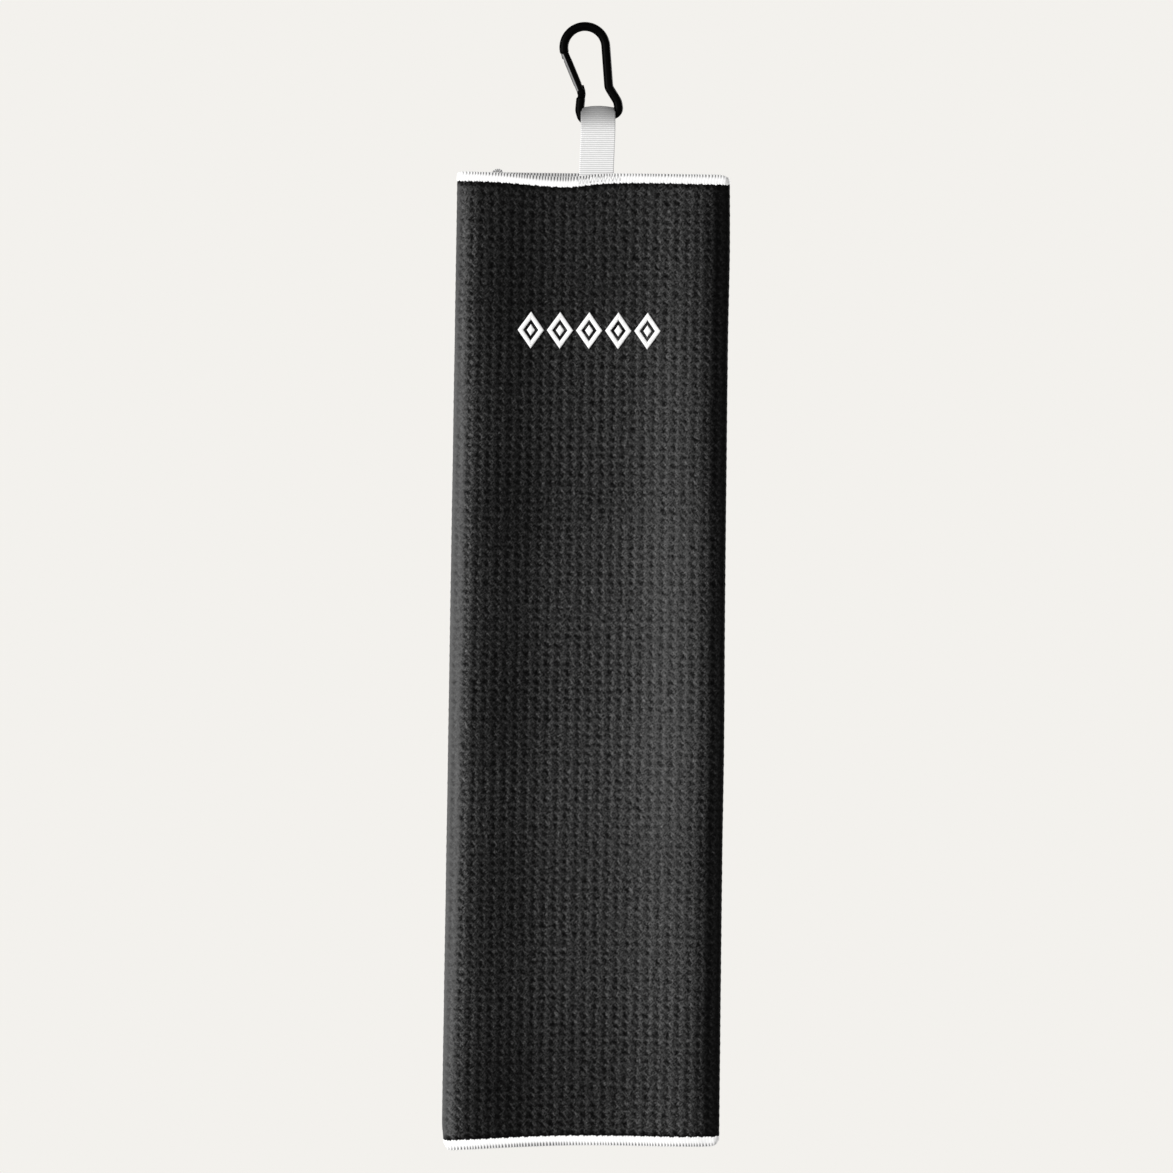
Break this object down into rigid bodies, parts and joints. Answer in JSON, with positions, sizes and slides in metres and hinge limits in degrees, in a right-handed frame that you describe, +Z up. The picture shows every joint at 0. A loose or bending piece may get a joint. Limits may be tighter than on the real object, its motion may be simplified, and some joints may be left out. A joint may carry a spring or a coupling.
{
  "type": "golf towel",
  "caption": "Waffle-weave golf towel folded in three, hung from a sewn webbing loop and a small sprung clip.",
  "frame": {"origin": "the inside top of the clip's hook, where a ring or a bag's loop bears", "axes": "+Z up along the hanging towel, +X to the right seen from the front, the towel's face towards -Y"},
  "size_m": [0.1568, 0.0099, 0.6171],
  "materials": {
    "waffle_cloth": "matte",
    "hem_thread": "satin",
    "embroidery_thread": "satin",
    "webbing": "matte",
    "stabiliser": "matte",
    "clip_black": "satin",
    "spring_steel": "satin"
  },
  "bodies": {
    "clip_frame": {"clip_frame": "clip_black", "gate_rivet": "spring_steel"},
    "gate": {"gate": "clip_black", "latch_pin": "spring_steel", "gate_spring": "spring_steel"},
    "loop": {"webbing_loop": "webbing"},
    "towel": {"front_panel": "waffle_cloth", "left_fold": "waffle_cloth", "right_fold": "waffle_cloth", "inner_leaf_head": "waffle_cloth", "inner_leaf_head_side_hem": "hem_thread", "outer_leaf_head": "waffle_cloth", "outer_leaf_head_side_hem": "hem_thread", "top_hem": "hem_thread", "bottom_hem": "hem_thread", "thread_tail": "hem_thread", "strap_front_end": "webbing", "strap_rear_end": "webbing", "front_bar_tack": "hem_thread", "rear_bar_tack": "hem_thread", "diamond_1": "embroidery_thread", "diamond_core_1": "embroidery_thread", "diamond_2": "embroidery_thread", "diamond_core_2": "embroidery_thread", "diamond_3": "embroidery_thread", "diamond_core_3": "embroidery_thread", "diamond_4": "embroidery_thread", "diamond_core_4": "embroidery_thread", "diamond_5": "embroidery_thread", "diamond_core_5": "embroidery_thread", "embroidery_backing": "stabiliser"},
    "outer_leaf": {"outer_leaf": "waffle_cloth", "outer_leaf_side_hem": "hem_thread", "outer_leaf_bottom_hem": "hem_thread"},
    "inner_leaf": {"inner_leaf": "waffle_cloth", "inner_leaf_side_hem": "hem_thread", "inner_leaf_bottom_hem": "hem_thread"}
  },
  "joints": [
    {"name": "gate_hinge", "type": "hinge", "parent": "clip_frame", "child": "gate", "pos_m": [-0.00194, 0, -0.0342], "axis": [0, 1, 0], "range_deg": [0, 30], "stiffness_Nm_per_rad": 0.05, "springref_deg": -17.19},
    {"name": "loop_swing", "type": "hinge", "parent": "clip_frame", "child": "loop", "pos_m": [0.00724, 0, -0.04797], "axis": [0.9736, 0, 0.2284], "range_deg": [-110, 110]},
    {"name": "towel_flex", "type": "hinge", "parent": "loop", "child": "towel", "pos_m": [0.00724, 0, -0.07327], "axis": [1, 0, 0], "range_deg": [-60, 60]},
    {"name": "outer_leaf_fold", "type": "hinge", "parent": "towel", "child": "outer_leaf", "pos_m": [0.07099, 0.0042, -0.36314], "axis": [-0.0126, 0, -0.9999], "range_deg": [0, 90], "stiffness_Nm_per_rad": 0.002},
    {"name": "inner_leaf_fold", "type": "hinge", "parent": "towel", "child": "inner_leaf", "pos_m": [-0.06973, 0.0024, -0.36138], "axis": [0.0126, 0, 0.9999], "range_deg": [0, 14], "stiffness_Nm_per_rad": 0.002}
  ],
  "couplings": [
    {"joint": "inner_leaf_fold", "follows": "outer_leaf_fold", "ratio": 0.15}
  ]
}
